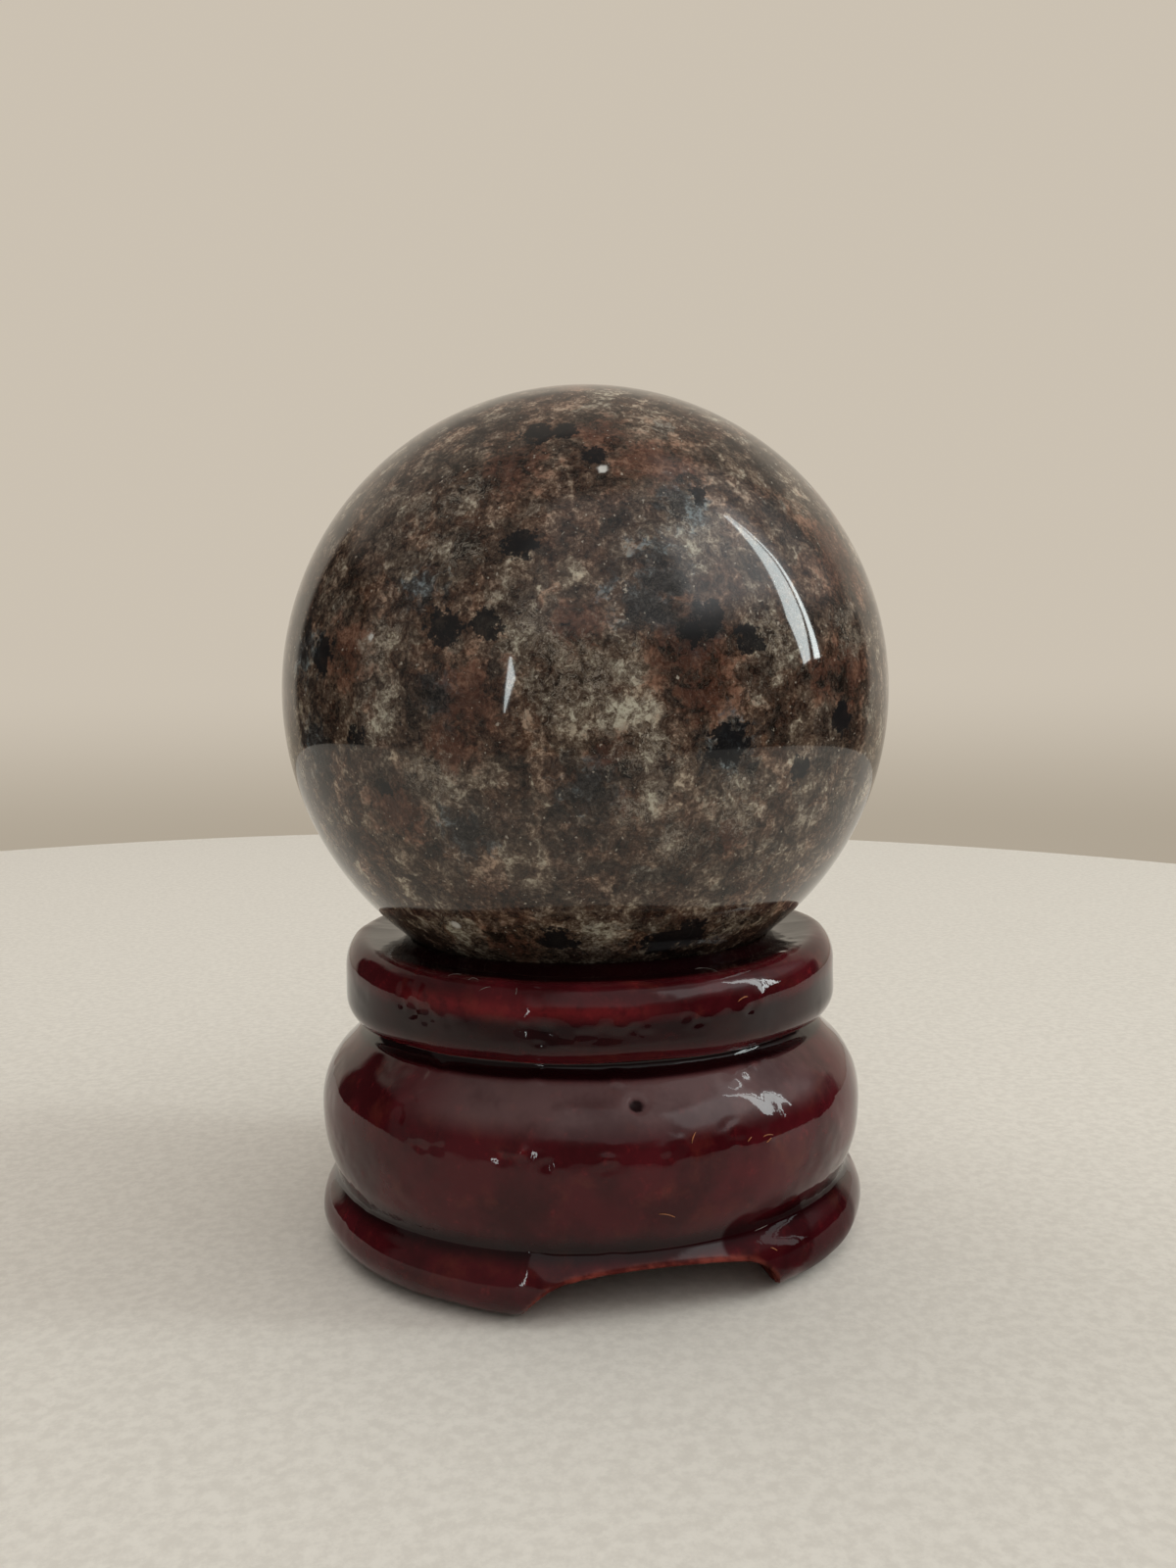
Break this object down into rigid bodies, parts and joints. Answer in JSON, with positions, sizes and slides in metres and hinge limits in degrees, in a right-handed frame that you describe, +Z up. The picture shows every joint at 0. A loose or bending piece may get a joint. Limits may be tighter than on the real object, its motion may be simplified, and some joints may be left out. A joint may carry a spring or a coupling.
{
  "type": "decorative sphere on stand",
  "caption": "Polished mottled stone sphere resting in the dished top of a turned, dark red lacquered wooden stand with a collar, a bulging belly and an arched foot ring.",
  "frame": {"origin": "centre of the stand's underside, on the surface that it stands on", "axes": "+Z up along the axis of the turned stand and through the sphere's centre; one foot arch faces -Y"},
  "size_m": [0.056, 0.056, 0.0777],
  "materials": {
    "polished_stone": "polished",
    "lacquered_wood": "gloss"
  },
  "bodies": {
    "root": {"stone_sphere": "polished_stone", "wooden_stand": "lacquered_wood"}
  },
  "joints": []
}
